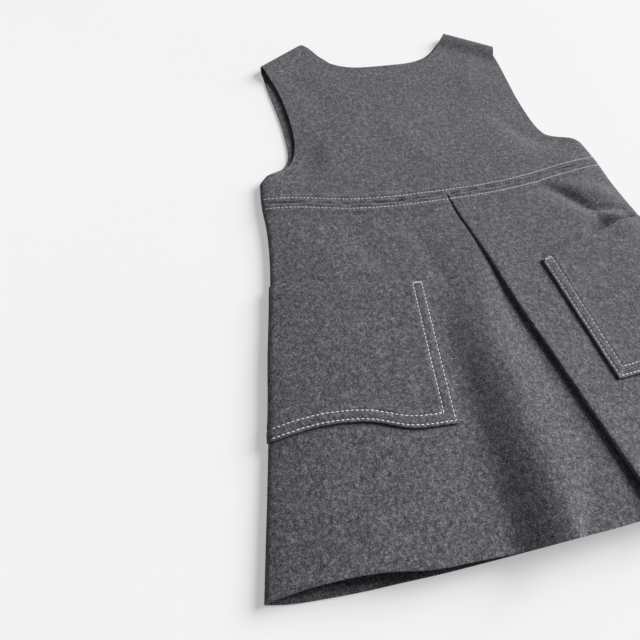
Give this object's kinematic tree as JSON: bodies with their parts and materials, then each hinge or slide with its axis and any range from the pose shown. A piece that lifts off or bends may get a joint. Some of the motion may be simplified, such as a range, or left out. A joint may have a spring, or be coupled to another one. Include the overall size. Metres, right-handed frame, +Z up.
{
  "type": "pinafore dress",
  "caption": "Sleeveless A-line pinafore dress of thick wool cloth, laid flat, with a front pleat and patch pockets.",
  "frame": {"origin": "on the surface that the dress lies on, under the middle of its length and width", "axes": "+Z up from that surface, +Y from the hem to the neck, +X to the viewer's right, which is the wearer's left"},
  "size_m": [0.4044, 0.4894, 0.0224],
  "materials": {
    "wool": "brushed grey melange wool, matt with a short nap",
    "thread": "off-white topstitching thread"
  },
  "bodies": {
    "root": {"bodice_front": "wool", "bodice_back_left": "wool", "bodice_back_right": "wool", "skirt_front": "wool", "skirt_back": "wool", "pocket_left": "wool", "pocket_right": "wool"}
  },
  "joints": []
}
